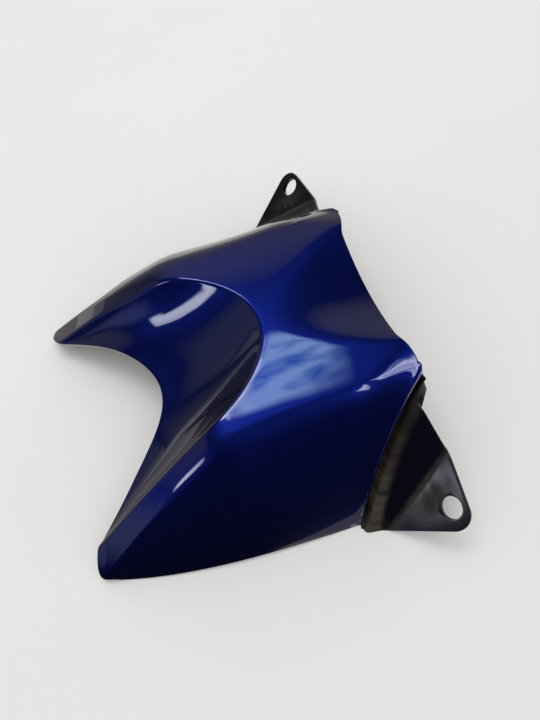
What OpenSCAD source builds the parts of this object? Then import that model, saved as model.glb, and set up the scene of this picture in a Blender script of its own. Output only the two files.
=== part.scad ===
// Tank cover for a motorcycle: one thin painted moulding that bridges the top of
// the fuel tank. Two prongs embrace the filler cap, the crown carries a scoop
// towards the cap and a bowl towards the front, and a folded lug with a bolt
// hole hangs below the front edge of each side wall.
// Sizes are millimetres. X runs from the prongs to the front, Z is up.

/* [View] */
// Which sub-part to draw

/* [Overall] */
// Length from the prong tips to the front of the corner noses
cover_length = 203; // [160:1:240]
// Height of the crown on the centre line
crown_height = 71.5; // [50:0.5:90]
// Thickness of the moulding
skin = 2.5; // [1.8:0.1:3.5]

/* [Crown and ridges] */
// Half the distance between the two ridges on the crown
ridge_half = 57.5; // [45:0.5:70]
// Fall of the crown from the centre line out to the ridges
crown_fall = 3; // [0:0.5:8]
// Half the distance between the ridges at the prong tips
tip_half = 86.5; // [70:0.5:100]
// Sideways closing of the ridges per millimetre of length
ridge_taper = 0.305; // [0.2:0.005:0.4]
// Height of the prong strip at its tip
ramp_start = 7; // [4:0.5:12]
// Rise of the prong strip per millimetre of length
ramp_rise = 0.8; // [0.6:0.01:1]
// Softness of the knee between prong strip and crown
knee_soft = 4; // [1:0.5:8]

/* [Cap notch and scoop] */
// Distance from the prong tips to the bottom of the cap notch
notch_depth = 66.5; // [50:0.5:85]
// Height of the notch edge at its bottom
notch_height = 33.5; // [25:0.5:45]
// Distance from the prong tips to the scoop rim on the centre line
rim_depth = 133; // [110:1:150]
// Width of the flat top between ridge and scoop, where the scoop's straight sides end
rim_inset = 9; // [5:0.5:14]
// Share of the scoop fall that is even instead of dished
scoop_even = 0.45; // [0.2:0.05:1]

/* [Front bowl and corner noses] */
// Length of the bowl behind the front edge
bowl_length = 46; // [30:1:60]
// Depth of the bowl at the front edge
bowl_depth = 10.5; // [0:0.5:16]
// Half width of the bowl at the front edge
bowl_half = 38; // [25:1:45]
// How far the corner noses stand ahead of the middle of the front edge
nose_lead = 7; // [0:0.5:10]
// Fall of the corner noses per millimetre
nose_fall = 0.36; // [0:0.02:0.6]

/* [Side walls] */
// Half width over the lower edges at the front
foot_half = 107.5; // [95:0.5:120]
// How far the lower corner of the wall stands behind the corner noses
foot_back = 56; // [40:1:80]
// Rise of the lower edges off the tank in the middle
foot_arch = 3; // [0:0.5:6]
// Step out from ridge to shoulder, the top of the wall's front edge
shoulder_out = 1.5; // [0:0.5:4]
// Drop from the crown to the shoulder
shoulder_drop = 7.5; // [5:0.5:12]

/* [Lugs] */
// Diameter of the bolt hole
hole_d = 12; // [8:0.5:16]
// Place of the hole along the fold and away from it
hole_at = [36, 19];
// Place of the lug's corner, before its rounding, along the fold and away from it
lug_corner = [35.5, 35.5];
// Rounding of the lug corner
lug_round = 9; // [7.5:0.5:12]
// Length of the fold line
fold_length = 58; // [45:0.5:70]
// How far the lower end of the fold stands ahead of the wall's lower corner
fold_ahead = 14; // [8:0.5:20]
// How far it stands out from that corner
fold_aside = 8.5; // [4:0.5:12]
// Drop from the crown to the upper end of the fold
fold_drop = 36; // [30:0.5:45]
// Inward run of the fold line over its length
fold_inward = 22.5; // [15:0.5:30]
// Tilt of the web between wall and fold
web_tilt = 21.5; // [10:0.5:30]
// Tilt of the lug plate beyond the fold
plate_tilt = 16; // [0:0.5:25]
// Height of the bead that the web carries beside the wall
bead = 1.7; // [0:0.1:3]
// Where the free edge of the web ends, along the fold and inward from it
web_end = [72, -23.5];
// Tip of the small ear above the web, from the shoulder
ear_reach = [3.1, 3.8, -14];

/* [Hidden] */
paint = [0.05, 0.08, 0.45];
knee_at = 0.45;
foot_at = 0.62;
nose_at = 0.75;
rim_round = 1.5;
tip_round = 1;
// Middle of the overall length, from the prong tips
mid_x = cover_length / 2 - 0.4;
front_x = cover_length - nose_lead;
// Places across the prong tips
foot_tip = tip_half - 1;
rim_tip = tip_half - 17.2;
notch_tip = tip_half - 19;
// Corners of the wall, and the lower end of the lug's fold
foot_corner = [cover_length - foot_back, foot_half, 0];
shoulder = [cover_length - 3.5, ridge_half + shoulder_out, crown_height - shoulder_drop];
fold_foot = foot_corner + [fold_ahead, fold_aside, 0];
fold_rise = crown_height - fold_drop;
ear_tip = shoulder + ear_reach;
// Station counts along the cover, and row counts across scoop, crown, ridge and wall
runs = [[0, knee_at, 16], [knee_at, foot_at, 7], [foot_at, nose_at, 21], [nose_at, 1, 7]];
// Of the stations at the lug, those along the fold and those up to the end of the free edge
fold_cols = 14;
edge_cols = 18;
ns = 6;
nt = 6;
nf = 3;
nw = 6;
// Shares of the wall's front edge opposite the top of the fold and the end of the free edge
fold_share = 0.63;
edge_share = 0.8;

// Plain helpers
function soft_min(a, b, k) = let (h = max(k - abs(a - b), 0) / k) min(a, b) - h * h * k / 4;
function soft_max(a, b, k) = -soft_min(-a, -b, k);
function ease(t) = let (c = min(max(t, 0), 1)) c * c * (3 - 2 * c);
function unit(a) = a / norm(a);
function curve(p, t) = len(p) == 1 ? p[0]
    : curve([for (i = [0:len(p) - 2]) p[i] + (p[i + 1] - p[i]) * t], t);
function flip(p, s) = [p[0] - mid_x, s * p[1], p[2]];
function shift(a, b, n) = [for (i = [0:n]) a + (b - a) * i / n];

// Height of the crown, made of the prong ramp, the plateau, the bowl and the noses
function ramp(x, y) = ramp_start + ramp_rise * x - 0.0014 * x * x
    + (0.4 - 0.0035 * x) * (78 - 0.274 * x - y);
function plateau(y) = crown_height - crown_fall * pow(y / ridge_half, 2);
function bowl(x, y) = soft_max(bowl_depth * (1 - (front_x - x) / bowl_length)
    - bowl_depth * pow(y / bowl_half, 2), 0, 3);
function nose(x, y) = soft_max(nose_fall * ((x - cover_length + 31) * 0.447
    + (y - ridge_half + 1.5) * 0.894), 0, 0.8);
function crown(x, y) = soft_min(ramp(x, y), plateau(y), knee_soft) - bowl(x, y) - nose(x, y);

// The ridge from prong tip to corner nose, then the front edge in to the centre
function ridge_x(v) = -tip_round + 110 * v
    + (cover_length + tip_round - 110 * nose_at) * pow(v / nose_at, 2);
function ridge_y(x) = soft_max(tip_half - ridge_taper * x, ridge_half, 2.5)
    - 5 * pow(max(x - cover_length + 22, 0) / 22, 2);
function edge_xy(y) = [front_x + nose_lead * ease((y - 34) / 18), y];
function ridge_xy(v) = v <= nose_at ? [ridge_x(v), ridge_y(ridge_x(v))]
    : edge_xy(ridge_y(cover_length) * (1 - v) / (1 - nose_at));
function ridge(v) = let (q = ridge_xy(v)) [q[0], q[1], crown(q[0], q[1])];

// The rim of the scoop: a straight run along the prong, then an arch to the centre
rim_straight = [86, ridge_half - rim_inset];
function rim_xy(s) = s < 0.54
    ? curve([[6, rim_tip], [32, rim_tip - 6.6], rim_straight - [27, -6.9], rim_straight], s / 0.54)
    : curve([rim_straight, rim_straight + [20, -5], [rim_depth, 23], [rim_depth, 0]],
        (s - 0.54) / 0.46);
function rim(v) = let (q = rim_xy(v * (1.36 - 0.36 * v))) [q[0], q[1], crown(q[0], q[1])];

// The cap notch
function notch(v) = let (q = curve([[8.5, notch_tip], [37, notch_tip - 20.5],
    [notch_depth, 24], [notch_depth, 0]], v * (1.2 - 0.2 * v)))
    [q[0], q[1], soft_min(10 + 0.5 * q[0], notch_height, 6)];

// The lower edge of the wall, then the front edge of the wall up to the nose
function foot(v) = v <= foot_at
    ? curve([[2, foot_tip, 0], [48, foot_half - 5.5, foot_arch * 0.7],
        [foot_corner[0] - 49, foot_half - 2, foot_arch * 1.3], foot_corner], v / foot_at)
    : curve([foot_corner, (foot_corner + shoulder) / 2 + [-3.5, -4.5, 17.5], shoulder],
        (v - foot_at) / (nose_at - foot_at));

// The three surfaces between those curves
function scoop(v, t) = let (a = notch(v), b = rim(v), p = a + (b - a) * t)
    [p[0], p[1], a[2] + (b[2] - a[2]) * (scoop_even * t + (1 - scoop_even) * t * t)];
function top(v, t) = let (p = rim(v) + (ridge(v) - rim(v)) * t) [p[0], p[1], crown(p[0], p[1])];
function swell(v) = 0.45 + 0.25 * ease(v / 0.2) - 0.32 * ease((v - 0.4) / 0.22);
function wall(v, t) = let (a = ridge(v), b = foot(v), p = a + (b - a) * t,
    k = swell(v) * min(1, (a[2] - b[2]) / 45))
    [p[0], p[1], b[2] + (a[2] - b[2]) * (1 - t) * (1 + k * t)];
function ridge_round(v) = 3 + 2.5 * ease(v / 0.45) + 5 * ease((v - 0.45) / 0.12)
    - 2 * ease((v - 0.62) / 0.12);

// Fold line of the lug and the two flat faces that meet along it
fold_dir = unit([sqrt(fold_length * fold_length - fold_rise * fold_rise
    - fold_inward * fold_inward), -fold_inward, fold_rise]);
fold_level = unit(cross(fold_dir, [0, 0, 1]));
fold_up = cross(fold_level, fold_dir);
function face_up(a) = cos(a) * fold_up + sin(a) * fold_level;
web_up = face_up(-web_tilt);
plate_up = face_up(plate_tilt);
web_out = cross(web_up, fold_dir);
plate_out = cross(plate_up, fold_dir);
function on_web(a, b, h) = fold_foot + a * fold_dir + b * web_out + h * web_up;
function on_plate(q) = fold_foot + q[0] * fold_dir + q[1] * plate_out;
function from_web(p) = let (q = p - fold_foot) [q * fold_dir, q * web_out, q * web_up];

// Outline of the lug plate: up the lower edge, round the corner and back to the fold
function touch(p, q, d) = p + (q - p) * d / norm(q - p);
fold_top = [fold_length, 0];
corner_sides = [unit(-lug_corner), unit(fold_top - lug_corner)];
corner_half = acos(corner_sides[0] * corner_sides[1]) / 2;
corner_reach = lug_round / tan(corner_half);
corner_mid = lug_corner + unit(corner_sides[0] + corner_sides[1]) * lug_round / sin(corner_half);
arc_from = touch(lug_corner, [0, 0], corner_reach);
arc_to = touch(lug_corner, fold_top, corner_reach);
function heading(p) = atan2(p[1] - corner_mid[1], p[0] - corner_mid[0]);
arc_turn = heading(arc_from) - heading(arc_to);
function outline(i) = i < 3 ? arc_from * i / 3
    : i > fold_cols - 3 ? arc_to + (fold_top - arc_to) * (i - fold_cols + 3) / 3
    : let (a = heading(arc_from) - arc_turn * (i - 3) / (fold_cols - 6))
        corner_mid + lug_round * [cos(a), sin(a)];

// One cross line from the notch over rim and ridge down to the lower edge
function section(v, tuck) = let (
    a = notch(v), b = rim(v), c = ridge(v), d = foot(v), lt = norm(c - b),
    s1 = 1 - min(rim_round / norm(b - a), 0.45), t0 = min(rim_round / lt, 0.45),
    r = ridge_round(min(v, nose_at)), t1 = 1 - min(r / lt, 0.45),
    w0 = min(r / norm(d - c), 0.45), w1 = 1 - tuck,
    q1 = top(v, t1), q2 = wall(v, w0))
    concat(
        [for (t = shift(0, s1, ns)) scoop(v, t)],
        [curve([scoop(v, s1), b, top(v, t0)], 0.5)],
        [for (t = shift(t0, t1, nt)) top(v, t)],
        v > nose_at ? [for (i = [1:nf]) top(v, t1 + (1 - t1) * i / nf)]
            : concat([for (i = [1:2 * nf]) curve([q1, c, q2], i / nf / 2)],
                [for (i = [1:nw]) wall(v, w0 + (w1 - w0) * i / nw)]));

// Stations of one half; along the lug they are spaced to suit the fold and the free edge
foot_col = runs[0][2] + runs[1][2];
fold_col = foot_col + fold_cols;
nose_col = foot_col + runs[2][2];
function between(i, i0, i1, a, b) = a + (b - a) * (i - i0) / (i1 - i0);
function lug_share(i) = i <= fold_cols ? between(i, 0, fold_cols, 0, fold_share)
    : i <= edge_cols ? between(i, fold_cols, edge_cols, fold_share, edge_share)
    : between(i, edge_cols, runs[2][2], edge_share, 1);
half_v = concat([for (k = [0:3]) for (i = [0:runs[k][2] - 1]) runs[k][0]
    + (runs[k][1] - runs[k][0]) * (k == 2 ? lug_share(i) : i / runs[k][2])], [1]);
nh = len(half_v) - 1;
edge_row = ns + nt + nf + 2;
last_row = edge_row + nf + nw;

// Outer end of each line across the web: on the fold, the free edge or the ear
function web_far(c) = let (i = c - foot_col)
    i <= fold_cols ? on_web(fold_length * i / fold_cols, 0, 0)
    : i <= edge_cols ? between(i, fold_cols, edge_cols,
        on_web(fold_length, 0, 0), on_web(web_end[0], web_end[1], 0))
    : between(i, edge_cols, runs[2][2], on_web(web_end[0], web_end[1], 0), ear_tip);
// Distance from the wall and share of the bead's height, from the groove over the bead
web_steps = [[1.8, 0], [3.6, 0.72], [6, 1], [9, 0.68], [13, 0.15]];
// Groove level beside the wall, which runs out at the foot
function groove(u) = 1.1 - 1.9 * ease(u / 0.15);
function crest(u) = bead * (1 - 0.35 * ease(u / 0.6));
// Slides a point along the fold onto the ground: all of the first line, and what lies below
function grounded(c, p) = p - fold_dir * (c == foot_col ? p[2] : min(0, p[2])) / fold_dir[2];
// Points across the web, from the wall's edge into the groove and over the bead
function web_line(c) = let (
    w = from_web(foot(half_v[c])), f = from_web(web_far(c)), u = lug_share(c - foot_col),
    d = norm([f[0] - w[0], f[1] - w[1]]), k = min(1, d / 16),
    g = min(groove(u), w[2] - 0.4 + 1.6 * (1 - ease(u / 0.1))),
    lip = [0.9 * k / d, g + (w[2] - g) * 0.3],
    rest = [for (e = web_steps) let (s = e[0] * k / d)
        [s, e[1] * crest(u) + (1 - e[1]) * (e[0] < 3 ? g : 0) + f[2] * pow(s, 1.5)]])
    [for (q = concat([lip], rest))
        grounded(c, on_web(between(q[0], 0, 1, w[0], f[0]), between(q[0], 0, 1, w[1], f[1]), q[1]))];
fold_row = last_row + len(web_steps) + 2;
plate_row = fold_row + 1;

// Last row of each line: the lower edge, the plate's outline, the web's free edge or the front edge
function rows(c) = c > nose_col ? edge_row : c < foot_col ? last_row
    : c > foot_col && c < fold_col ? plate_row : fold_row;
outer_half = [for (c = [0:nh]) concat(section(half_v[c], 0),
    c < foot_col || c > nose_col ? [] : web_line(c),
    c < foot_col || c > nose_col ? [] : [web_far(c)],
    c > foot_col && c < fold_col ? [on_plate(outline(c - foot_col))] : [])];
// Share of the wall by which the inside stops short, so that its lower lip stays flat
function tuck(v) = let (a = ridge(v), b = foot(v))
    min(0.5, max(0, skin * 0.62 - b[2]) / ((a[2] - b[2]) * (1 + swell(v))));
inner_base = [for (v = half_v) section(v, v <= nose_at ? tuck(v) : 0)];
function at(c, r) = outer_half[c][min(r, rows(c))];
// Surface normal from the neighbours, and the inside point one skin below
function normal_at(c, r) = let (
    c0 = max(c - 1, r > last_row ? foot_col : 0), c1 = min(c + 1, r > edge_row ? nose_col : nh),
    r0 = max(r - 1, 0), r1 = min(r + 1, rows(c)),
    dc = c == nh ? (at(c, r) - at(c0, r)) - [0, at(c, r)[1] - at(c0, r)[1], 0]
        + [0, at(c0, r)[1] * -2, 0] : at(c1, r) - at(c0, r),
    dr = at(c, r1) - at(c, r0), m = cross(dc, dr))
    unit(c == nh ? [m[0], 0, m[2]] : m);
function inside(c, r) = r > last_row
    ? grounded(c, at(c, r) - skin * (r == plate_row ? plate_up
        : r == fold_row && c <= fold_col ? (web_up + plate_up) / (1 + web_up * plate_up)
        : normal_at(c, r)))
    : let (p = inner_base[c][r] - skin * normal_at(c, r)) [p[0], c == nh ? 0 : p[1], max(p[2], 0)];
inner_half = [for (c = [0:nh]) [for (r = [0:rows(c)]) inside(c, r)]];

// Points of one half, outside then inside, padded so that every point has a simple number
wide = plate_row + 1;
function pad(l) = [for (r = [0:plate_row]) l[min(r, len(l) - 1)]];
half_points = concat([for (l = outer_half) each pad(l)], [for (l = inner_half) each pad(l)]);
sheet = (nh + 1) * wide;
function num(k) = k[0] * wide + min(k[1], rows(k[0]));
function quad(a, b, c, d) = [[a, c, b], [a, d, c]];
function cell(c, r) = [[c, r], [c + 1, r], [c + 1, r + 1], [c, r + 1]];
cells = [for (c = [0:nh - 1]) for (r = [0:plate_row - 1])
    if (r < edge_row || (c < nose_col && r < last_row)
        || (c >= foot_col && c < (r < fold_row ? nose_col : fold_col)))
        cell(c, r)];
// The sheet's border, walked once round
rim_walk = concat(
    [for (c = [nh:-1:0]) [c, 0]],
    [for (r = [1:last_row]) [0, r]],
    [for (c = [1:foot_col]) [c, last_row]],
    [for (r = [last_row + 1:fold_row]) [foot_col, r]],
    [for (c = [foot_col + 1:fold_col - 1]) [c, plate_row]],
    [for (c = [fold_col:nose_col]) [c, fold_row]],
    [for (r = [fold_row - 1:-1:edge_row]) [nose_col, r]],
    [for (c = [nose_col + 1:nh]) [c, edge_row]]);
half_faces = concat(
    [for (k = cells) each quad(num(k[0]), num(k[1]), num(k[2]), num(k[3]))],
    [for (k = cells) let (n = [for (q = k) sheet + num(q)]) each quad(n[0], n[3], n[2], n[1])],
    [for (i = [0:len(rim_walk) - 2]) let (a = num(rim_walk[i]), b = num(rim_walk[i + 1]))
        each quad(a, b, sheet + b, sheet + a)]);
// Faces that shrink to a line, where the plate runs out into the fold, are left out
whole_faces = [for (f = half_faces) if (f[0] != f[1] && f[1] != f[2] && f[0] != f[2]) f];
// The far half shares the points of the centre line
function twin(i) = floor((i % sheet) / wide) == nh ? i : i + 2 * sheet;

module moulding() {
    polyhedron(
        points = concat([for (p = half_points) flip(p, 1)], [for (p = half_points) flip(p, -1)]),
        faces = concat(whole_faces, [for (f = whole_faces) [twin(f[0]), twin(f[2]), twin(f[1])]]),
        convexity = 6);
}

// Drill for the bolt hole, square to the lug plate
module hole_drill() {
    o = flip(on_plate(hole_at), 1);
    multmatrix([
        [fold_dir[0], plate_out[0], plate_up[0], o[0]],
        [fold_dir[1], plate_out[1], plate_up[1], o[1]],
        [fold_dir[2], plate_out[2], plate_up[2], o[2]]])
        translate([0, 0, -skin - 2])
            cylinder(d = hole_d, h = skin + 4, $fn = 96);
}

module tank_cover() {
    color(paint)
        difference() {
            moulding();
            hole_drill();
            mirror([0, 1, 0]) hole_drill();
        }
}

tank_cover();
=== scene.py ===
"""Tank cover for a motorcycle: one thin painted moulding, laid out as an add-on."""
import math

import bpy
from bpy.props import FloatProperty, FloatVectorProperty, PointerProperty
from mathutils import Matrix, Vector


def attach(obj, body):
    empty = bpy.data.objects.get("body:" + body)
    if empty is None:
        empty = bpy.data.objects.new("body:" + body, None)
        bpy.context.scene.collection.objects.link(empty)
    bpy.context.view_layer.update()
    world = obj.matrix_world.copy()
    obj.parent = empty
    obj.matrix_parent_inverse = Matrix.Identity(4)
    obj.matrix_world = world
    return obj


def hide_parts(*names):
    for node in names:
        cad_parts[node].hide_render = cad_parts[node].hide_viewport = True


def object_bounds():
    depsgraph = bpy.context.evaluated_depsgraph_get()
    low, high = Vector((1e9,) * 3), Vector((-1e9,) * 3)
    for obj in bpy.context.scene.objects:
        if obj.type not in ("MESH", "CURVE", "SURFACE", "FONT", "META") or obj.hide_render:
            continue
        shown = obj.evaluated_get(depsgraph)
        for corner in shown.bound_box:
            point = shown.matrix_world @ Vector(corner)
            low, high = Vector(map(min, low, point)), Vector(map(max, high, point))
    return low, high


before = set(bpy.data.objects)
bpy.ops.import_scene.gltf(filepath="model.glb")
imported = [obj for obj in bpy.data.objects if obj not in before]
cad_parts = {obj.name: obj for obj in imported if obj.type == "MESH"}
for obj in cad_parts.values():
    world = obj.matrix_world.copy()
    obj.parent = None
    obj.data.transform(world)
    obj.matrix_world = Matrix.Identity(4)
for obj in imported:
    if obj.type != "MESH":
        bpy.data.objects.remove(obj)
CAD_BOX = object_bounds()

bl_info = {
    "name": "Motorcycle tank cover",
    "version": (1, 0, 0),
    "blender": (4, 5, 0),
    "location": "3D View > Sidebar > Tank cover",
    "description": "Builds a painted tank cover with its lugs, and a studio stage",
    "category": "Object",
}

NODE = "tank_cover"
PIECE = "tank_cover_moulding"
MM = 0.001
# In metres: points closer than this become one, and the painted strip of the web beside the wall
SAME_POINT, PAINTED_EDGE = 0.00002, 0.0009
# Material slots: paint and lug outside, then the bare inside of each, then the cut edge of each
PAINT, LUG, BARE, CUT, SLOTS = 0, 1, 2, 4, 6

# Stations along the cover, as shares of its walk from the prong tip to the centre line:
# the knee of the prong, the corner of the lower edge, and the nose at the front corner
KNEE, FOOT, NOSE = 0.45, 0.62, 0.75
# Shares of the web's line along the wall, where its fold and its free edge end
FOLD_SHARE, EDGE_SHARE = 0.63, 0.8
# The model's own middle, in millimetres from the prong tips
MID_X = 101.1

# Rows of faces across each surface, and steps along each stretch of the outline
ROWS = {"scoop": 22, "rim": 6, "top": 22, "ridge": 6, "wall": 26, "web": 22}
STEPS_ALONG = {"prong": 56, "side": 22, "plate_edge": 7, "plate_corner": 16, "web_edge": 8, "ear": 8,
               "front": 24}

# Floor, and the sizes and places of the cards that only the lacquer mirrors, in metres.
# A card's glow can turn to a bright end and another end, and fade towards its borders.
FLOOR_SIZE, FLOOR_Z = 12, -0.0003
CARDS = (
    {"name": "sheet_near", "place": (0.02, -0.004, -0.0006), "size": (0.50, 0.21), "turn": -21,
     "glow": (0.33, 0.31, 0.285)},
    {"name": "sheet_beyond", "place": (-0.09, 0.25, -0.0008), "size": (0.72, 0.30),
     "glow": (0.72, 0.70, 0.65)},
    {"name": "sheet_far", "place": (-0.10, 0.85, -0.0010), "size": (1.6, 0.90), "glow": (0.34, 0.32, 0.28)},
    {"name": "room_low", "place": (-1.9, 1.05, 0.08), "size": (2.4, 0.70), "facing": (1, 0, 0),
     "glow": (0.36, 0.32, 0.26), "soft": 0.5},
    {"name": "room_back", "place": (0.4, 2.0, 0.85), "size": (4.6, 3.5), "facing": (0, -1, 0),
     "glow": (0.33, 0.30, 0.28), "soft": 0.6},
    {"name": "room_side", "place": (-2.0, 1.05, 0.50), "size": (2.2, 2.4), "facing": (1, 0, 0),
     "glow": (0.20, 0.185, 0.17), "soft": 0.5},
    {"name": "window_glass", "place": (-0.07, 0.430, 1.30), "size": (0.80, 0.44), "facing": (0, 0, -1),
     "turn": -8, "glow": (0.30, 0.95, 2.10), "bright": (13.0, 13.5, 12.5), "other_end": (2.6, 4.0, 5.2),
     "soft": 0.3},
    {"name": "side_glass", "place": (-0.300, -0.085, 0.195), "size": (0.055, 0.075),
     "facing": (0.87, 0.15, -0.45), "glow": (2.0, 2.2, 3.0), "bright": (6.2, 6.4, 7.4), "soft": 0.5},
    {"name": "side_glow", "place": (-1.722, -0.366, 0.374), "size": (0.85, 0.60),
     "facing": (0.957, 0.203, -0.208), "glow": (0.26, 0.30, 0.52), "soft": 0.8},
    {"name": "front_glass", "place": (0.818, -0.818, 1.379), "size": (0.64, 0.58),
     "facing": (-0.4545, 0.4545, -0.766), "glow": (0.9, 1.1, 2.2), "bright": (6.0, 6.2, 7.0), "soft": 0.3},
)
# Scale of the mottle on the glass cards
MOTTLE = 7.0
# The world as it lights the cover, and as the lacquer mirrors it
PALE_ROOM, DIM_ROOM = (0.98, 0.98, 1.0, 1.0), (0.012, 0.011, 0.020, 1.0)
LAMP_PLACE, LAMP_SIZE, LAMP_WATTS = (0.02, 0.33, 1.29), (0.74, 0.52), 4.6
# The camera's place in millimetres, and the directions of its right, its up and its back
CAMERA_PLACE = (14.69, -150.0, 324.03)
CAMERA_AXES = ((0.93629, -0.33368, -0.10960), (0.34729, 0.83307, 0.43055), (-0.05237, -0.44118, 0.89589))
CAMERA_LENS, CAMERA_SENSOR = 27.5, 36.0


def length(name, description, default):
    return FloatProperty(name=name, description=description, default=default, min=0.0, unit="LENGTH")


def colour(name, description, default):
    return FloatVectorProperty(
        name=name, description=description, default=default, size=4, min=0.0, max=1.0, subtype="COLOR")


class TankCoverSizes(bpy.types.PropertyGroup):
    """Sizes of the moulding"""
    cover_length: length("Length", "From the prong tips to the corner noses", 0.203)
    crown_height: length("Crown height", "Height of the crown on the centre line", 0.0715)
    skin: length("Skin", "Thickness of the moulding", 0.0025)
    ridge_half: length("Ridge half width", "Half the distance between the ridges", 0.0575)
    notch_depth: length("Notch depth", "From the prong tips to the bottom of the cap notch", 0.0665)
    notch_height: length("Notch height", "Height of the notch edge at its bottom", 0.0335)
    bowl_depth: length("Bowl depth", "Depth of the front bowl at the front edge", 0.0105)
    bolt_hole: length("Bolt hole", "Diameter of the bolt hole in each lug", 0.012)
    bead: length("Bead", "Height of the bead on the web beside the wall", 0.0017)
    cut_round: length("Cut edge rounding", "Rounding of the trimmed edges", 0.0004)


class TankCoverFinish(bpy.types.PropertyGroup):
    """Colours of the moulding"""
    paint: colour("Paint", "Metallic blue over the outside", (0.0024, 0.0145, 0.225, 1.0))
    paint_deep: colour("Deep paint", "Blue where the flakes lie edge on", (0.0006, 0.0010, 0.028, 1.0))
    plastic: colour("Bare plastic", "Unpainted underside", (0.012, 0.011, 0.012, 1.0))
    lug: colour("Lug", "Black gloss of the lugs, with a breath of blue", (0.003, 0.002, 0.006, 1.0))
    # Brown on the lugs: dust in folds and round the holes, and a painted sheen on the web's bead
    dust_and_sheen: colour("Dust", "Brown dust in folds and round the holes", (0.060, 0.045, 0.025, 1.0))
    cut_edge: colour("Cut edge", "Trimmed edge of the moulding", (0.42, 0.41, 0.40, 1.0))
    # Pale grey of the wall's front edge: a painted highlight of its rolled edge, with wear
    wear_and_highlight: colour("Worn edge", "Plastic where the paint has rubbed off", (0.26, 0.25, 0.24, 1.0))


class StudioSettings(bpy.types.PropertyGroup):
    """Floor and lamps"""
    floor: colour("Floor", "Pale sheet under the part", (0.80, 0.79, 0.77, 1.0))
    window: FloatProperty(name="Window", description="Strength of the overhead window", default=1.0, min=0.0)
    fill: FloatProperty(name="Fill", description="Strength of the even light", default=0.84, min=0.0)


def sizes():
    return bpy.context.scene.tank_cover_sizes


def finish_colours():
    return bpy.context.scene.tank_cover_finish


def studio():
    return bpy.context.scene.tank_cover_studio


# Plain helpers


def soft_min(a, b, k):
    h = max(k - abs(a - b), 0.0) / k
    return min(a, b) - h * h * k / 4


def soft_max(a, b, k):
    return -soft_min(-a, -b, k)


def ease(t):
    c = min(max(t, 0.0), 1.0)
    return c * c * (3 - 2 * c)


def mix(a, b, t):
    return a + (b - a) * t


def curve(points, t):
    p = [Vector(q) for q in points]
    while len(p) > 1:
        p = [p[i].lerp(p[i + 1], t) for i in range(len(p) - 1)]
    return p[0]


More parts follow.
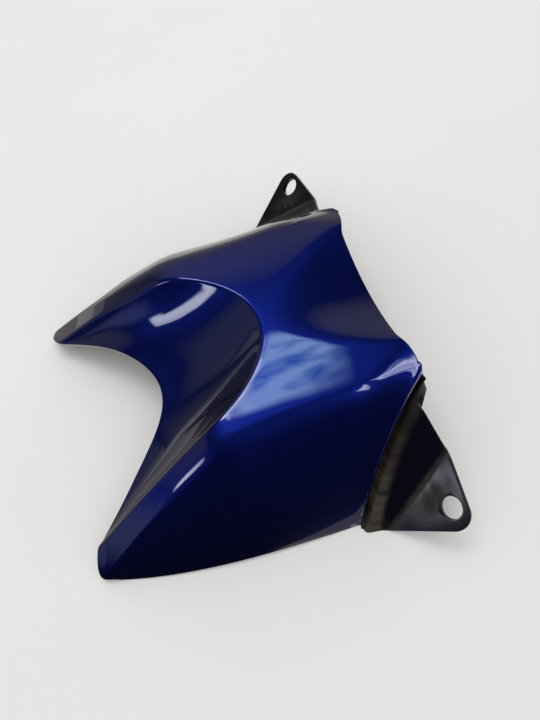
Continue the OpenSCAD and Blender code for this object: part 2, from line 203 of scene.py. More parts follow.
class Form:
    """The cover's feature curves and surfaces, in millimetres from the prong tips"""
    # Crown: the prong's ramp with its cant, the plateau, the bowl, and the falls at the noses
    ramp_start, ramp_rise, ramp_bow = 7, 0.8, 0.0014
    cant, cant_fade, strip_half, strip_taper = 0.4, 0.0035, 78, 0.274
    knee_soft, crown_fall = 4, 3
    bowl_start, bowl_half, bowl_soft = 150, 38, 3
    nose_fall, nose_back, nose_aside, nose_soft = 0.36, 31, 1.5, 0.8
    nose_way = (0.447, 0.894)
    # Ridge, front edge and cap notch
    tip_half, ridge_taper, ridge_soft, ridge_tuck, tuck_length = 86.5, 0.305, 2.5, 5, 22
    front_lead, lead_from, lead_over = 7, 34, 18
    rim_knee, rim_reach = (86.0, 48.5), 133
    notch_tip, notch_root, notch_slope, notch_soft = (8.5, 67.5, 0), 10, 0.5, 6
    # Lug: fold, web, plate and bolt hole
    fold_length, fold_rise, fold_inward = 58.0, 35.5, 22.5
    web_tilt, plate_tilt = -21.5, 16
    web_end, hole_at = (72.0, -23.5), (36.0, 19.0)
    plate_corner, plate_round = (35.5, 35.5), 9.0
    # The bead ends this far from the wall; a web narrower than its full width shrinks the whole line
    bead_foot, web_full, web_full_above_fold = 15.5, 16, 19

    def __init__(self, s):
        self.length = s.cover_length / MM
        self.height = s.crown_height / MM
        self.skin = s.skin / MM
        self.half = s.ridge_half / MM
        self.notch_depth = s.notch_depth / MM
        self.notch_height = s.notch_height / MM
        self.bowl_depth = s.bowl_depth / MM
        self.bead = s.bead / MM
        self.hole = s.bolt_hole / MM / 2
        self.front_x = self.length - self.front_lead
        self.foot_corner = Vector((147, 107.5, 0))
        self.shoulder = Vector((self.length - 3.5, 59, 64))
        # Fold line of the lug and the two flat faces that meet along it
        run, rise, inward = self.fold_length, self.fold_rise, self.fold_inward
        self.fold_foot = Vector((161, 116, 0))
        self.fold = Vector((math.sqrt(run * run - rise * rise - inward * inward), -inward, rise)).normalized()
        level = self.fold.cross(Vector((0, 0, 1))).normalized()
        up = level.cross(self.fold)
        web_tilt, plate_tilt = math.radians(self.web_tilt), math.radians(self.plate_tilt)
        self.web_up = up * math.cos(web_tilt) + level * math.sin(web_tilt)
        self.plate_up = up * math.cos(plate_tilt) + level * math.sin(plate_tilt)
        self.web_out = self.web_up.cross(self.fold)
        self.plate_out = self.plate_up.cross(self.fold)
        self.ear_tip = Vector((202.6, 62.8, 50))
        # From the ridge to the end of its rounding on the wall, at the nose
        c, d = self.ridge(NOSE), self.foot(NOSE)
        self.nose_step = self.wall(NOSE, min(6.5 / (d - c).length, 0.45)) - c

    # Height of the crown, made of the prong ramp, the plateau, the bowl and the noses
    def crown(self, x, y):
        ramp = (self.ramp_start + self.ramp_rise * x - self.ramp_bow * x * x
                + (self.cant - self.cant_fade * x) * (self.strip_half - self.strip_taper * x - y))
        plateau = self.height - self.crown_fall * (y / self.half) ** 2
        d = self.bowl_depth
        ahead = d * (x - self.bowl_start) / (self.front_x - self.bowl_start)
        bowl = soft_max(ahead - d * (y / self.bowl_half) ** 2, 0, self.bowl_soft)
        along = (x - self.length + self.nose_back) * self.nose_way[0]
        aside = (y - self.half + self.nose_aside) * self.nose_way[1]
        nose = soft_max(self.nose_fall * (along + aside), 0, self.nose_soft)
        return soft_min(ramp, plateau, self.knee_soft) - bowl - nose

    def on_crown(self, x, y):
        return Vector((x, y, self.crown(x, y)))

    def ridge_y(self, x):
        side = soft_max(self.tip_half - self.ridge_taper * x, self.half, self.ridge_soft)
        return side - self.ridge_tuck * (max(x - self.length + self.tuck_length, 0) / self.tuck_length) ** 2

    def ridge(self, v):
        if v <= NOSE:
            x = -1 + 110 * v + (self.length + 1 - 110 * NOSE) * (v / NOSE) ** 2
            return self.on_crown(x, self.ridge_y(x))
        y = self.ridge_y(self.length) * (1 - v) / (1 - NOSE)
        return self.on_crown(self.front_x + self.front_lead * ease((y - self.lead_from) / self.lead_over), y)

    def rim(self, v):
        s = v * (1.36 - 0.36 * v)
        (a, b), end = self.rim_knee, self.rim_reach
        if s < 0.54:
            q = curve(((6, 69.3, 0), (32, 62.7, 0), (a - 27, b + 6.9, 0), (a, b, 0)), s / 0.54)
        else:
            q = curve(((a, b, 0), (a + 20, b - 5, 0), (end, 23, 0), (end, 0, 0)), (s - 0.54) / 0.46)
        return self.on_crown(q.x, q.y)

    def notch(self, v):
        d = self.notch_depth
        q = curve((self.notch_tip, (37, 47, 0), (d, 24, 0), (d, 0, 0)), v * (1.2 - 0.2 * v))
        q.z = soft_min(self.notch_root + self.notch_slope * q.x, self.notch_height, self.notch_soft)
        return q

    def foot(self, v):
        if v <= FOOT:
            return curve(((2, 85.5, 0), (48, 102, 2.1), (98, 105.5, 3.9), self.foot_corner), v / FOOT)
        middle = (self.foot_corner + self.shoulder) / 2 + Vector((-3.5, -4.5, 17.5))
        return curve((self.foot_corner, middle, self.shoulder), (v - FOOT) / (NOSE - FOOT))

    # The three surfaces between those curves
    def scoop(self, v, t):
        a, b = self.notch(v), self.rim(v)
        p = a.lerp(b, t)
        p.z = mix(a.z, b.z, 0.45 * t + 0.55 * t * t)
        return p

    def top(self, v, t):
        p = self.rim(v).lerp(self.ridge(v), t)
        return self.on_crown(p.x, p.y)

    def wall(self, v, t):
        a, b = self.ridge(v), self.foot(v)
        swell = (0.45 + 0.25 * ease(v / 0.2) - 0.32 * ease((v - 0.4) / 0.22)) * min(1, (a.z - b.z) / 45)
        p = a.lerp(b, t)
        p.z = b.z + (a.z - b.z) * (1 - t) * (1 + swell * t)
        return p

    def section(self, v, rows):
        """One cross line from the notch over rim and ridge down to the lower edge"""
        a, b, c, d = self.notch(v), self.rim(v), self.ridge(v), self.foot(v)
        lt = (c - b).length
        round_off = 1.6 + 1.2 * (1 - ease((v - 0.35) / 0.25))
        s1 = 1 - min(round_off / (b - a).length, 0.45)
        t0 = min(round_off / lt, 0.45)
        w = min(v, NOSE)
        r = 3 + 2.5 * ease(w / 0.45) + 5 * ease((w - 0.45) / 0.12) - 2 * ease((w - 0.62) / 0.12)
        t1 = 1 - min(r / lt, 0.45)
        line = [self.scoop(v, s1 * i / rows["scoop"]) for i in range(rows["scoop"] + 1)]
        inner, outer = self.scoop(v, s1), self.top(v, t0)
        n = rows["rim"]
        line += [curve((inner, b, outer), i / n) for i in range(1, n)]
        line += [self.top(v, mix(t0, t1, i / rows["top"])) for i in range(rows["top"] + 1)]
        n = rows["ridge"]
        if v > NOSE + 1e-9:
            q1, c = self.top(v, t1), self.ridge(v)
            q2 = c + self.nose_step
            plain = ease((v - NOSE) / 0.07)
            line += [curve((q1, c, q2), i / n / 2).lerp(self.top(v, mix(t1, 1, i / n)), plain)
                     for i in range(1, n + 1)]
            return line
        w0 = min(r / (d - c).length, 0.45)
        q1, q2 = self.top(v, t1), self.wall(v, w0)
        line += [curve((q1, c, q2), i / n / 2) for i in range(1, 2 * n + 1)]
        line += [self.wall(v, mix(w0, 1, i / rows["wall"])) for i in range(1, rows["wall"] + 1)]
        return [self.tip_rounding(v, p) for p in line]

    def tip_rounding(self, v, p):
        """Bows the end of the prong and draws its outer corner in"""
        near = max(0, 1 - v / 0.04) ** 2
        if near == 0:
            return p
        across = min(max((p.y - 68) / 18, 0), 1)
        return Vector((p.x - 2.2 * near * across * (1 - across) * 2 + 1.2 * near * across ** 6,
                       p.y - 1.8 * near * ease((p.y - 75) / 12), p.z))

    # The lug: a web beside the wall, then a plate beyond the fold
    def on_web(self, a, b, h):
        return self.fold_foot + self.fold * a + self.web_out * b + self.web_up * h

    def on_plate(self, a, b):
        return self.fold_foot + self.fold * a + self.plate_out * b

    def from_web(self, p):
        q = p - self.fold_foot
        return q.dot(self.fold), q.dot(self.web_out), q.dot(self.web_up)

    def web_far(self, u):
        """Outer end of a line across the web, on the fold, the free edge or the ear"""
        if u <= FOLD_SHARE:
            return self.on_web(self.fold_length * u / FOLD_SHARE, 0, 0)
        a, b = self.web_end
        if u <= EDGE_SHARE:
            t = (u - FOLD_SHARE) / (EDGE_SHARE - FOLD_SHARE)
            return self.on_web(mix(self.fold_length, a, t), b * t, 0)
        return self.on_web(a, b, 0).lerp(self.ear_tip, (u - EDGE_SHARE) / (1 - EDGE_SHARE))

    def grounded(self, u, p):
        """Slides a point along the fold onto the ground: all of the first line, and what lies lower"""
        return p - self.fold * ((p.z if u == 0 else min(0, p.z)) / self.fold.z)

    def web_line(self, u, rows):
        """A line across the web: from the wall's edge into the groove, over the bead, out to the fold"""
        w = Vector(self.from_web(self.foot(mix(FOOT, NOSE, u))))
        f = Vector(self.from_web(self.web_far(u)))
        a, b = (Vector(self.from_web(self.foot(mix(FOOT, NOSE, k)))) for k in (u - 0.02, u + 0.02))
        reach = (f - w).to_2d()
        d = reach.length
        square = (b - a).to_2d().orthogonal().normalized()
        if square.dot(reach) < 0:
            square.negate()
        swing = ease(u / 0.15) * (1 - ease((u - 0.42) / 0.18))
        way = reach.normalized().lerp(square, swing).normalized()
        k = min(1, d / (self.web_full if u <= FOLD_SHARE else self.web_full_above_fold))
        g = min(0.7 - 2.2 * ease(u / 0.15), w.z - 0.4 + 1.6 * (1 - ease(u / 0.1)))
        crest = self.bead * (1 - 0.35 * ease(u / 0.6))
        # Distance from the wall's edge and height at the points that lead the line
        lead = [(0, w.z), (0.4, w.z - 0.06), (0.9, mix(g, w.z, 0.82)), (1.3, mix(g, w.z, 0.4)),
                (1.8, g + 0.1), (2.4, g), (3.2, mix(g, crest, 0.2)), (4.6, mix(g, crest, 0.8)), (6.4, crest),
                (9.2, crest * 0.66), (12.5, crest * 0.18), (self.bead_foot, 0)]
        line = []
        for i in range(1, rows + 1):
            s = self.bead_foot * (i / rows) ** 1.5
            q = w.to_2d() + way * (s * k)
            line.append(Vector((q.x, q.y, smooth_at(lead, s) + f.z * (s * k / d) ** 1.5)))
        last = line[-1].copy()
        by_fold = [1 - 2.4 / max(d, 6), 1 - 1.1 / max(d, 6), 1]
        if u <= FOLD_SHARE:
            steps = [j / 6 for j in range(1, 6)] + by_fold
        else:
            steps = [j / 8 for j in range(1, 9)]
        line += [last.lerp(f, t) for t in sorted(steps)]
        points = [self.grounded(u, self.on_web(*p)) for p in line]
        points[-1] = self.web_far(u)
        return points

    def outline(self, steps, arc_steps):
        """Outline of the lug plate, up its lower edge, round the corner and back to the fold"""
        corner, top, radius = Vector(self.plate_corner), Vector((self.fold_length, 0)), self.plate_round
        a, b = (-corner).normalized(), (top - corner).normalized()
        half = math.acos(a.dot(b)) / 2
        reach = radius / math.tan(half)
        middle = corner + (a + b).normalized() * radius / math.sin(half)
        start, end = corner + a * reach, corner + b * reach
        p0, p1 = start - middle, end - middle
        turn = p0.angle_signed(p1)
        points = [start * (i / steps) for i in range(steps)]
        for i in range(arc_steps + 1):
            r = Matrix.Rotation(-turn * i / arc_steps, 2) @ p0
            points.append(middle + r)
        points += [end.lerp(top, i / steps) for i in range(1, steps + 1)]
        return points


def nearest(points, p):
    return min(points, key=lambda q: (q - p).length)


def smooth_at(points, s):
    """Height on a smooth curve through the points"""
    for i in range(len(points) - 1):
        (s0, h0), (s1, h1) = points[i], points[i + 1]
        if s <= s1:
            before = points[i - 1] if i else points[i]
            after = points[i + 2] if i + 2 < len(points) else points[i + 1]
            m0 = (h1 - before[1]) / (s1 - before[0]) if i else (h1 - h0) / (s1 - s0)
            m1 = (after[1] - h0) / (after[0] - s0)
            t, w = (s - s0) / (s1 - s0), s1 - s0
            return ((2 * t ** 3 - 3 * t * t + 1) * h0 + (t ** 3 - 2 * t * t + t) * w * m0
                    + (3 * t * t - 2 * t ** 3) * h1 + (t ** 3 - t * t) * w * m1)
    return points[-1][1]


# Modelling helpers


def clear_selection():
    if bpy.context.object and bpy.context.object.mode != "OBJECT":
        bpy.ops.object.mode_set(mode="OBJECT")
    bpy.ops.object.select_all(action="DESELECT")


def in_frame(p):
    """A point of the form in the model's own frame, in metres"""
    return Vector((p.x - MID_X, p.y, p.z)) * MM


def sheet_from_lines(name, lines, slot=0, marks=None):
    """A grid primitive laid onto lines of points, some of them shorter; the marks fill its attribute"""
    clear_selection()
    rows = max(len(l) for l in lines) - 1
    bpy.ops.mesh.primitive_grid_add(x_subdivisions=len(lines) - 1, y_subdivisions=rows, size=1)
    obj = bpy.context.object
    obj.name = obj.data.name = name
    spare = []
    for k in range(SLOTS):
        held = "slot_%d" % k
        obj.data.materials.append(bpy.data.materials.get(held) or bpy.data.materials.new(held))
    obj.data.polygons.foreach_set("material_index", [slot] * len(obj.data.polygons))
    # Marks: dust with a painted sheen on the lug sheets, a painted highlight with wear on the paint
    mark = obj.data.attributes.new("dust_and_sheen" if slot == LUG else "wear_and_highlight", "FLOAT", "POINT")
    lip = obj.data.attributes.new("lip", "FLOAT", "POINT")
    for v in obj.data.vertices:
        i = round((v.co.x + 0.5) * (len(lines) - 1))
        j = round((v.co.y + 0.5) * rows)
        if marks and j < len(lines[i]):
            mark.data[v.index].value = marks(i, j)
        lip.data[v.index].value = 1.0 if slot == PAINT and j == 0 else 0.0
        if j < len(lines[i]):
            v.co = in_frame(lines[i][j])
        else:
            spare.append(v.index)
    if spare:
        bpy.ops.object.mode_set(mode="EDIT")
        bpy.ops.mesh.select_mode(type="VERT")
        bpy.ops.mesh.select_all(action="DESELECT")
        bpy.ops.object.mode_set(mode="OBJECT")
        for i in spare:
            obj.data.vertices[i].select = True
        bpy.ops.object.mode_set(mode="EDIT")
        bpy.ops.mesh.delete(type="VERT")
        bpy.ops.object.mode_set(mode="OBJECT")
    return obj


def join(objects, name):
    clear_selection()
    for o in objects:
        o.select_set(True)
    bpy.context.view_layer.objects.active = objects[0]
    bpy.ops.object.join()
    obj = bpy.context.object
    obj.name = obj.data.name = name
    return obj


def merge_doubles(obj, distance):
    bpy.ops.object.mode_set(mode="EDIT")
    bpy.ops.mesh.select_all(action="SELECT")
    bpy.ops.mesh.remove_doubles(threshold=distance)
    bpy.ops.object.mode_set(mode="OBJECT")


def add_modifier(obj, kind, **settings):
    bpy.context.view_layer.objects.active = obj
    bpy.ops.object.modifier_add(type=kind)
    m = obj.modifiers[-1]
    for key, value in settings.items():
        setattr(m, key, value)
    bpy.ops.object.modifier_apply(modifier=m.name)


def spread(a, b, n):
    return [a + (b - a) * i / n for i in range(n)]


def lug_shares(outline_count):
    """Shares of the web's line along the wall, up the fold and on over the free edge and the ear"""
    edge, ear = STEPS_ALONG["web_edge"], STEPS_ALONG["ear"]
    return ([FOLD_SHARE * i / (outline_count - 1) for i in range(outline_count)]
            + [mix(FOLD_SHARE, EDGE_SHARE, i / edge) for i in range(1, edge + 1)]
            + [mix(EDGE_SHARE, 1, i / ear) for i in range(1, ear + 1)])


def body_sheet(form, shares):
    """Scoop, crown and wall in paint, with a painted highlight and wear in pale grey along the wall's front
    edge, most at its two ends
    """
    stations = (spread(0, KNEE, STEPS_ALONG["prong"]) + spread(KNEE, FOOT, STEPS_ALONG["side"])
                + [mix(FOOT, NOSE, u) for u in shares[:-1]] + spread(NOSE, 1, STEPS_ALONG["front"]) + [1.0])
    lines = [form.section(v, ROWS) for v in stations]

    # Painted highlight with wear: pale grey along the wall's front edge, strongest at both ends
    def wear_and_highlight(i, j):
        v = stations[i]
        if not FOOT - 0.02 <= v <= NOSE + 1e-6:
            return 0.0
        u = (v - FOOT) / (NOSE - FOOT)
        ends = 0.25 + 0.75 * max(1 - ease(u / 0.25), ease((u - 0.72) / 0.2))
        return ends * (1 - ease((form.foot(v) - lines[i][j]).length / 2.2))

    return sheet_from_lines("body", lines, PAINT, wear_and_highlight)


def web_sheet(form, shares):
    """The web beside the wall, painted at the wall's edge, with brown dust along the fold, and on the bead a
    painted sheen with dust
    """
    edge = [form.foot(mix(FOOT, NOSE, u)) for u in shares]
    lines = [[p] + form.web_line(u, ROWS["web"]) for u, p in zip(shares, edge)]

    def dust_and_sheen(i, j):
        u, line = shares[i], lines[i]
        s = (line[j] - line[0]).length
        # The brown band on the bead is a painted sheen of its rounding, with dust
        bead = ease((s - 3.2) / 2.2) * (1 - ease((s - 8.5) / 4.5)) * (1 - 0.75 * ease(u / 0.9))
        to_fold = (line[-1] - line[j]).length
        fold = (1 - ease(to_fold / 2.6)) * (0.55 if u <= FOLD_SHARE else 0.0)
        foot = 0.35 * (1 - ease(u / 0.12)) * (1 - ease((s - 10) / 8))
        return min(1.0, bead + fold + foot)

    web = sheet_from_lines("web", lines, LUG, dust_and_sheen)
    edge = [in_frame(p) for p in edge]
    for f in web.data.polygons:
        if (f.center - nearest(edge, f.center)).length < PAINTED_EDGE:
            f.material_index = PAINT
    return web


def plate_sheet(form, outline, shares):
    """The lug's plate, in rings from the bolt hole to its outline and the fold, with dust by fold and hole"""
    loop = ([form.on_plate(p.x, p.y) for p in outline]
            + [form.web_far(u) for u in reversed(shares[1:len(outline) - 1])]
            + [form.on_plate(outline[0].x, outline[0].y)])
    middle = form.on_plate(*form.hole_at)
    rings = []
    for p in loop:
        rim = middle + (p - middle).normalized() * form.hole
        out = (p - rim).length
        by_fold = (p - form.fold_foot).dot(form.plate_out) < 0.01
        ends = (1 - 2.4 / out, 1 - 1.2 / out, 1) if by_fold else (0.78, 0.9, 1)
        rings.append([rim.lerp(p, t) for t in (0, 0.12, 0.28, 0.45, 0.62) + ends])

    def dust_and_sheen(i, j):
        p = rings[i][j] - form.fold_foot
        along, away = p.dot(form.fold), p.dot(form.plate_out)
        fold = 1 - ease(away / 2.4)
        patch = math.exp(-((along - 33) / 11) ** 2 - ((away - 9.5) / 5.5) ** 2)
        return min(1.0, 0.6 * fold + 0.5 * patch)

    return sheet_from_lines("plate", rings, LUG, dust_and_sheen)


def face_upwards(obj):
    """Points the faces of the open sheet out of the crown"""
    bpy.ops.object.mode_set(mode="EDIT")
    bpy.ops.mesh.select_all(action="SELECT")
    bpy.ops.mesh.normals_make_consistent(inside=False)
    bpy.ops.object.mode_set(mode="OBJECT")
    crown = max(obj.data.polygons, key=lambda f: f.center.z)
    if crown.normal.z < 0:
        bpy.ops.object.mode_set(mode="EDIT")
        bpy.ops.mesh.flip_normals()
        bpy.ops.object.mode_set(mode="OBJECT")


def mirror_half(obj):
    """Lays the middle edge onto the mirror plane and adds the other half"""
    for v in obj.data.vertices:
        if abs(v.co.y) < SAME_POINT / 2:
            v.co.y = 0.0
    add_modifier(obj, "MIRROR", use_axis=(False, True, False), merge_threshold=SAME_POINT)


def thicken(obj, form):
    """Gives the sheet its skin, with the edge of the cap notch cut straight down"""
    outside = len(obj.data.vertices)
    add_modifier(obj, "SOLIDIFY", thickness=form.skin * MM, offset=-1.0, use_even_offset=False,
                 use_quality_normals=True, material_offset=BARE, material_offset_rim=CUT)
    lip = obj.data.attributes["lip"].data
    for v in obj.data.vertices:
        if v.index >= outside and lip[v.index].value > 0.5:
            top = obj.data.vertices[v.index - outside].co
            v.co = (top.x, top.y, top.z - form.skin * MM)
        v.co.z = max(v.co.z, 0.0)
    obj.data.attributes.remove(obj.data.attributes["lip"])


class TANKCOVER_OT_moulding(bpy.types.Operator):
    """Build the moulding: one sheet over crown, scoop, walls, webs and lug plates, then its thickness"""
    bl_idname = "tankcover.moulding"
    bl_label = "Moulding"
    bl_options = {"REGISTER", "UNDO"}

    def execute(self, context):
        form = Form(sizes())
        outline = form.outline(STEPS_ALONG["plate_edge"], STEPS_ALONG["plate_corner"])
        shares = lug_shares(len(outline))
        sheets = [body_sheet(form, shares), web_sheet(form, shares), plate_sheet(form, outline, shares)]
        obj = join(sheets, PIECE)
        merge_doubles(obj, SAME_POINT)
        face_upwards(obj)
        mirror_half(obj)
        thicken(obj, form)
        add_modifier(obj, "BEVEL", width=sizes().cut_round, segments=3, limit_method="ANGLE",
                     angle_limit=math.radians(48), use_clamp_overlap=True, harden_normals=False, material=-1)
        low, high = CAD_BOX
        for v in obj.data.vertices:
            v.co = [min(max(v.co[k], low[k]), high[k]) for k in range(3)]
        clear_selection()
        obj.select_set(True)
        bpy.context.view_layer.objects.active = obj
        bpy.ops.object.shade_smooth_by_angle(angle=math.radians(50))
        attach(obj, "root")
        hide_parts(NODE)
        return {"FINISHED"}


# Materials


def new_material(name):
    mat = bpy.data.materials.new(name)
    mat.use_nodes = True
    tree = mat.node_tree
    return mat, tree, tree.nodes["Principled BSDF"]


def object_noise(tree, scale, detail=2.0, stretch=None):
    """Noise in object coordinates, stretched if asked; returns its factor output"""
    source = tree.nodes.new("ShaderNodeTexCoord").outputs["Object"]
    if stretch:
        mapping = tree.nodes.new("ShaderNodeMapping")
        mapping.inputs["Scale"].default_value = stretch
        tree.links.new(source, mapping.inputs["Vector"])
        source = mapping.outputs["Vector"]
    noise = tree.nodes.new("ShaderNodeTexNoise")
    noise.inputs["Scale"].default_value = scale
    noise.inputs["Detail"].default_value = detail
    tree.links.new(source, noise.inputs["Vector"])
    return noise.outputs["Fac"]


def attribute(tree, name):
    """Value of one of the piece's own attributes"""
    n = tree.nodes.new("ShaderNodeAttribute")
    n.attribute_name = name
    return n.outputs["Fac"]


def ramp(tree, source, *stops):
    """Colour ramp through (place, value) stops"""
    n = tree.nodes.new("ShaderNodeValToRGB")
    for k, (place, value) in enumerate(stops):
        e = n.color_ramp.elements[k] if k < 2 else n.color_ramp.elements.new(place)
        e.position = place
        e.color = value if isinstance(value, tuple) else (value, value, value, 1.0)
    tree.links.new(source, n.inputs["Fac"])
    return n.outputs["Color"]


def blend(tree, factor, a, b, kind="MIX"):
    """Mix of two colours or outputs, by a factor that is a number or an output"""
    n = tree.nodes.new("ShaderNodeMix")
    n.data_type, n.blend_type = "RGBA", kind
    first, second = [i for i in n.inputs if i.type == "RGBA"]
    for value, socket in ((factor, n.inputs["Factor"]), (a, first), (b, second)):
        if isinstance(value, bpy.types.NodeSocket):
            tree.links.new(value, socket)
        else:
            socket.default_value = value
    return [o for o in n.outputs if o.type == "RGBA"][0]


def multiply(tree, a, b):
    n = tree.nodes.new("ShaderNodeMath")
    n.operation = "MULTIPLY"
    n.use_clamp = True
    tree.links.new(a, n.inputs[0])
    tree.links.new(b, n.inputs[1])
    return n.outputs[0]


def bump(tree, shader, source, strength, distance, socket="Normal"):
    n = tree.nodes.new("ShaderNodeBump")
    n.inputs["Strength"].default_value = strength
    n.inputs["Distance"].default_value = distance
    tree.links.new(source, n.inputs["Height"])
    tree.links.new(n.outputs["Normal"], shader.inputs[socket])


def paint_material(c):
    """Blue flakes under clear lacquer, deeper where the surface turns away, and pale grey where marked: a
    painted highlight with wear
    """
    mat, tree, shader = new_material("metallic_paint")
    facing = tree.nodes.new("ShaderNodeLayerWeight")
    facing.inputs["Blend"].default_value = 0.5
    tone = blend(tree, facing.outputs["Facing"], c.paint, c.paint_deep)
    cloud = ramp(tree, object_noise(tree, 14.0, 3.0), (0.35, 0.82), (0.65, 1.0))
    blue = blend(tree, 1.0, tone, cloud, "MULTIPLY")
    # Pale grey where marked: a painted highlight of the rolled front edge, with wear
    wear_and_highlight = attribute(tree, "wear_and_highlight")
    tree.links.new(blend(tree, wear_and_highlight, blue, c.wear_and_highlight), shader.inputs["Base Color"])
    tree.links.new(ramp(tree, wear_and_highlight, (0.0, 0.9), (0.8, 0.1)), shader.inputs["Metallic"])
    bump(tree, shader, object_noise(tree, 2600.0, 1.0), 0.05, 0.0002)
    bump(tree, shader, object_noise(tree, 45.0, 1.0), 0.10, 0.001, "Coat Normal")
    shader.inputs["Roughness"].default_value = 0.42
    shader.inputs["Coat Weight"].default_value = 1.0
    shader.inputs["Coat Roughness"].default_value = 0.03
    shader.inputs["Coat IOR"].default_value = 1.6
    return mat


def lug_material(c):
    """Black gloss, with streaky brown where the attribute says: dust, and a painted sheen on the web's bead
    """
    mat, tree, shader = new_material("lug_plastic")
    streaks = ramp(tree, object_noise(tree, 60.0, 6.0, (1.0, 0.25, 6.0)), (0.30, 0.25), (0.68, 1.0))
    # Brown where marked: dust, with a painted sheen on the web's bead
    grime_and_sheen = multiply(tree, attribute(tree, "dust_and_sheen"), streaks)
    tree.links.new(blend(tree, grime_and_sheen, c.lug, c.dust_and_sheen), shader.inputs["Base Color"])
    tree.links.new(ramp(tree, grime_and_sheen, (0.0, 0.16), (0.6, 0.75)), shader.inputs["Roughness"])
    bump(tree, shader, object_noise(tree, 500.0, 3.0), 0.08, 0.0002)
    return mat


def plastic_material(name, tone, roughness):
    """Moulded plastic with a fine grain and a slightly uneven colour"""
    mat, tree, shader = new_material(name)
    dark = tuple(0.7 * k for k in tone[:3]) + (1.0,)
    uneven = ramp(tree, object_noise(tree, 30.0, 3.0), (0.3, dark), (0.7, tuple(tone)))
    tree.links.new(uneven, shader.inputs["Base Color"])
    bump(tree, shader, object_noise(tree, 900.0, 4.0), 0.2, 0.0001)
    shader.inputs["Roughness"].default_value = roughness
    return mat


class TANKCOVER_OT_finish(bpy.types.Operator):
    """Give the moulding its paint and bare plastic"""
    bl_idname = "tankcover.finish"
    bl_label = "Finish"
    bl_options = {"REGISTER", "UNDO"}

    def execute(self, context):
        obj = bpy.data.objects[PIECE]
        c = finish_colours()
        bare = plastic_material("bare_plastic", c.plastic, 0.45)
        finishes = (paint_material(c), lug_material(c), bare, bare,
                    plastic_material("cut_edge", c.cut_edge, 0.3), plastic_material("lug_edge", c.lug, 0.25))
        for slot, mat in zip(obj.material_slots, finishes):
            bpy.data.materials.remove(slot.material)
            slot.material = mat
        return {"FINISHED"}


def panel(name, place, size, facing=(0, 0, 1), turn=0.0):
    """A flat card at a place, facing a way; one that faces up or down is turned by some degrees"""
    clear_selection()
    bpy.ops.mesh.primitive_plane_add(size=1)
    card = bpy.context.object
    card.name = card.data.name = name
    look = Vector(facing).normalized()
    side = Vector((1, 0, 0)) if abs(look.z) > 0.99 else Vector((0, 0, 1)).cross(look).normalized()
    side = Matrix.Rotation(math.radians(turn), 3, "Z") @ side
    up = look.cross(side)
    for v in card.data.vertices:
        v.co = Vector(place) + side * (v.co.x * size[0]) + up * (v.co.y * size[1])
    return card


def soft_border(tree, across, soft):
    """One inside the card, falling to nothing towards its four borders"""
    sides = []
    for axis in ("X", "Y"):
        rest = tree.nodes.new("ShaderNodeMath")
        rest.operation = "SUBTRACT"
        rest.inputs[0].default_value = 1.0
        tree.links.new(across.outputs[axis], rest.inputs[1])
        sides.append(multiply(tree, across.outputs[axis], rest.outputs[0]))
    return ramp(tree, multiply(tree, *sides), (0.0, 0.0), (soft / 16, 1.0))


def mirrored_card(name, place, size, glow, facing=(0, 0, 1), turn=0.0, bright=None, other_end=None, soft=0.0):
    """A glowing card that only reflections see: mottled towards its bright ends, soft at its borders"""
    card = panel(name, place, size, facing, turn)
    card.visible_camera = card.visible_diffuse = card.visible_shadow = card.visible_transmission = False
    mat = bpy.data.materials.new(name)
    mat.use_nodes = True
    tree = mat.node_tree
    tree.nodes.remove(tree.nodes["Principled BSDF"])
    light = tree.nodes.new("ShaderNodeEmission")
    light.inputs["Color"].default_value = glow + (1.0,)
    across = tree.nodes.new("ShaderNodeSeparateXYZ")
    tree.links.new(tree.nodes.new("ShaderNodeUVMap").outputs["UV"], across.inputs["Vector"])
    if bright:
        mottle = ramp(tree, object_noise(tree, MOTTLE, 4.0, (1.0, 1.6, 1.0)), (0.33, 0.0), (0.56, 1.0))
        other = (other_end or bright) + (1.0,)
        ends = ramp(tree, across.outputs["X"], (0.40, bright + (1.0,)), (0.64, other))
        tree.links.new(blend(tree, mottle, glow + (1.0,), ends), light.inputs["Color"])
    if soft:
        tree.links.new(soft_border(tree, across, soft), light.inputs["Strength"])
    tree.links.new(light.outputs["Emission"], tree.nodes["Material Output"].inputs["Surface"])
    card.data.materials.append(mat)


def lay_floor(tone):
    floor = panel("floor", (0, 0, FLOOR_Z), (FLOOR_SIZE, FLOOR_SIZE))
    floor.visible_glossy = False
    mat, tree, shader = new_material("pale_sheet")
    dull = tuple(0.97 * k for k in tone[:3]) + (1.0,)
    uneven = ramp(tree, object_noise(tree, 3.0), (0.3, dull), (0.7, tuple(tone)))
    tree.links.new(uneven, shader.inputs["Base Color"])
    shader.inputs["Roughness"].default_value = 0.8
    floor.data.materials.append(mat)


def light_world(scene, fill):
    """An even pale light all round, which the lacquer mirrors as a dim room"""
    world = bpy.data.worlds.new("studio")
    world.use_nodes = True
    scene.world = world
    tree = world.node_tree
    pale = tree.nodes["Background"]
    pale.inputs["Color"].default_value = PALE_ROOM
    pale.inputs["Strength"].default_value = fill
    dim = tree.nodes.new("ShaderNodeBackground")
    dim.inputs["Color"].default_value = DIM_ROOM
    ray = tree.nodes.new("ShaderNodeLightPath")
    pick = tree.nodes.new("ShaderNodeMixShader")
    tree.links.new(ray.outputs["Is Glossy Ray"], pick.inputs["Fac"])
    tree.links.new(pale.outputs["Background"], pick.inputs[1])
    tree.links.new(dim.outputs["Background"], pick.inputs[2])
    tree.links.new(pick.outputs["Shader"], tree.nodes["World Output"].inputs["Surface"])


def hang_lamp(scene, strength):
    light = bpy.data.lights.new("window", "AREA")
    light.shape = "RECTANGLE"
    light.size, light.size_y = LAMP_SIZE
    light.energy = LAMP_WATTS * strength
    light.color = (1.0, 0.99, 0.96)
    lamp = bpy.data.objects.new("window", light)
    scene.collection.objects.link(lamp)
    lamp.location = LAMP_PLACE
    lamp.visible_glossy = False


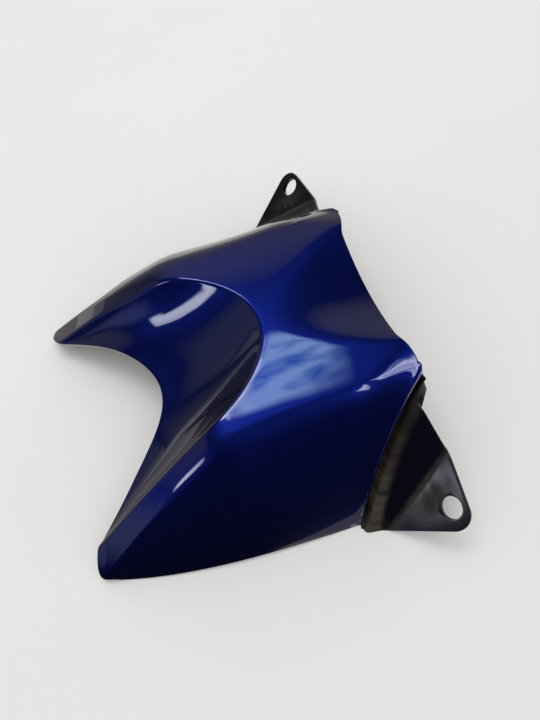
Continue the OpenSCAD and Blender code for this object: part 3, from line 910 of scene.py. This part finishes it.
def set_camera(scene):
    cam = bpy.data.cameras.new("camera")
    cam.sensor_fit = "VERTICAL"
    cam.sensor_height = cam.sensor_width = CAMERA_SENSOR
    cam.lens = CAMERA_LENS
    cam.clip_start = 0.01
    obj = bpy.data.objects.new("camera", cam)
    scene.collection.objects.link(obj)
    turn = Matrix(CAMERA_AXES).transposed()
    obj.matrix_world = Matrix.Translation(Vector(CAMERA_PLACE) * MM) @ turn.to_4x4()
    scene.camera = obj


class TANKCOVER_OT_stage(bpy.types.Operator):
    """Lay the pale floor, hang the lamps and set the camera"""
    bl_idname = "tankcover.stage"
    bl_label = "Stage"
    bl_options = {"REGISTER", "UNDO"}

    def execute(self, context):
        scene = context.scene
        scene.view_settings.view_transform = "Standard"
        settings = studio()
        lay_floor(settings.floor)
        for card in CARDS:
            mirrored_card(**card)
        light_world(scene, settings.fill)
        hang_lamp(scene, settings.window)
        set_camera(scene)
        return {"FINISHED"}


class TANKCOVER_PT_panel(bpy.types.Panel):
    """Sizes, colours and steps of the tank cover"""
    bl_idname = "TANKCOVER_PT_panel"
    bl_label = "Tank cover"
    bl_space_type = "VIEW_3D"
    bl_region_type = "UI"
    bl_category = "Tank cover"

    def draw(self, context):
        scene = context.scene
        for group in (scene.tank_cover_sizes, scene.tank_cover_finish, scene.tank_cover_studio):
            for name in group.__annotations__:
                self.layout.prop(group, name)
        for step in STEPS:
            self.layout.operator(step.bl_idname)


GROUPS = (TankCoverSizes, TankCoverFinish, StudioSettings)
STEPS = (TANKCOVER_OT_moulding, TANKCOVER_OT_finish, TANKCOVER_OT_stage)
CLASSES = GROUPS + STEPS + (TANKCOVER_PT_panel,)


def register():
    for cls in CLASSES:
        bpy.utils.register_class(cls)
    bpy.types.Scene.tank_cover_sizes = PointerProperty(type=TankCoverSizes)
    bpy.types.Scene.tank_cover_finish = PointerProperty(type=TankCoverFinish)
    bpy.types.Scene.tank_cover_studio = PointerProperty(type=StudioSettings)


def unregister():
    del bpy.types.Scene.tank_cover_studio
    del bpy.types.Scene.tank_cover_finish
    del bpy.types.Scene.tank_cover_sizes
    for cls in reversed(CLASSES):
        bpy.utils.unregister_class(cls)


def main():
    register()
    bpy.ops.tankcover.moulding()
    bpy.ops.tankcover.finish()
    bpy.ops.tankcover.stage()


if __name__ == "__main__":
    main()
